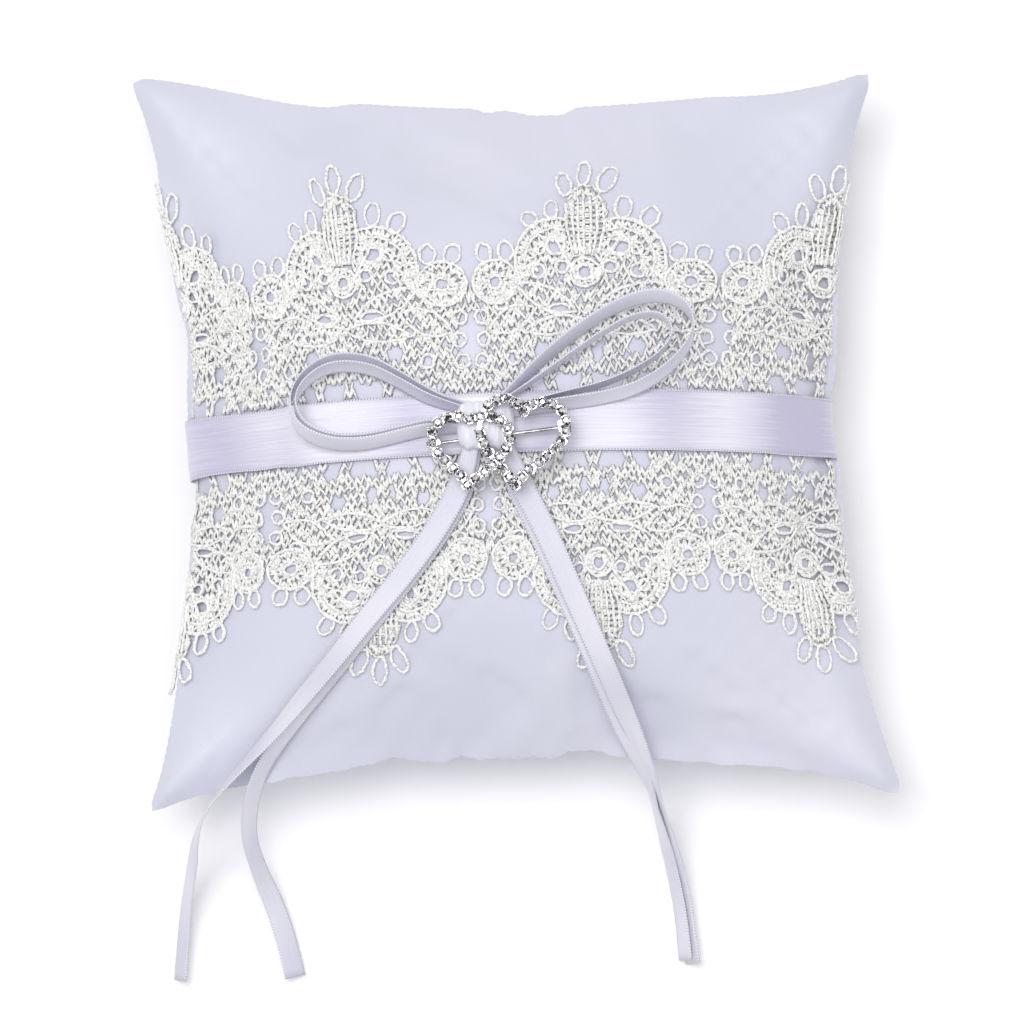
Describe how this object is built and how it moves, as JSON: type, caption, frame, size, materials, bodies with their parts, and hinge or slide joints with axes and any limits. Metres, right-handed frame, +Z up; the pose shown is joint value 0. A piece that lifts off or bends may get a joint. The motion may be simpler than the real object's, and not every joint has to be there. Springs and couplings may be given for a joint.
{
  "type": "ring bearer pillow",
  "caption": "Square stuffed satin pillow with scalloped lace bands, a ribbon belt, a ribbon bow with long tails and a double-heart rhinestone brooch pinned on the bow.",
  "frame": {"origin": "centre of the pillow's footprint, on the surface it lies on", "axes": "+Z up through the crown, +Y towards the pillow's top edge, +X towards its right side as worn by the bow; the ribbon tails run towards -Y"},
  "size_m": [0.2, 0.2396, 0.081],
  "materials": {
    "satin": "cool white polyester satin with a soft sheen",
    "filling": "matt white polyester fibre fill",
    "sewing_thread": "white polyester sewing thread",
    "lace": "matt warm white guipure lace cord",
    "belt_satin": "glossy lavender white satin ribbon",
    "bow_satin": "cool white satin ribbon with woven edges",
    "brooch_metal": "bright silver plating",
    "pin_metal": "bright nickel-plated steel wire",
    "rhinestone": "faceted foil-backed clear crystal"
  },
  "bodies": {
    "root": {"front_panel": "satin", "back_panel": "satin", "polyester_fill": "filling", "perimeter_seam_thread": "sewing_thread", "closing_stitches": "sewing_thread", "upper_lace_trim": "lace", "lower_lace_trim": "lace", "belt_ribbon": "belt_satin", "bow_knot": "bow_satin", "left_front_loop": "bow_satin", "left_rear_loop": "bow_satin", "right_outer_loop": "bow_satin", "right_inner_loop": "bow_satin", "left_outer_tail": "bow_satin", "left_inner_tail": "bow_satin", "right_front_tail": "bow_satin", "right_rear_tail": "bow_satin", "pin_stem": "pin_metal"},
    "brooch_front": {"brooch_setting": "brooch_metal", "left_heart_stones": "rhinestone", "right_heart_stones": "rhinestone", "hinge_bracket": "brooch_metal", "hinge_rivet": "pin_metal", "catch_body": "brooch_metal"},
    "catch_roller": {"catch_roller": "brooch_metal"}
  },
  "joints": [
    {"name": "brooch_swing", "type": "hinge", "parent": "root", "child": "brooch_front", "pos_m": [0.01312, -0.00231, 0.0749], "axis": [-0.0958, 0.9954, 0], "range_deg": [0, 45]},
    {"name": "roller_turn", "type": "hinge", "parent": "brooch_front", "child": "catch_roller", "pos_m": [-0.01992, -0.00549, 0.0749], "axis": [0.9954, 0.0958, 0], "range_deg": [0, 90]}
  ]
}
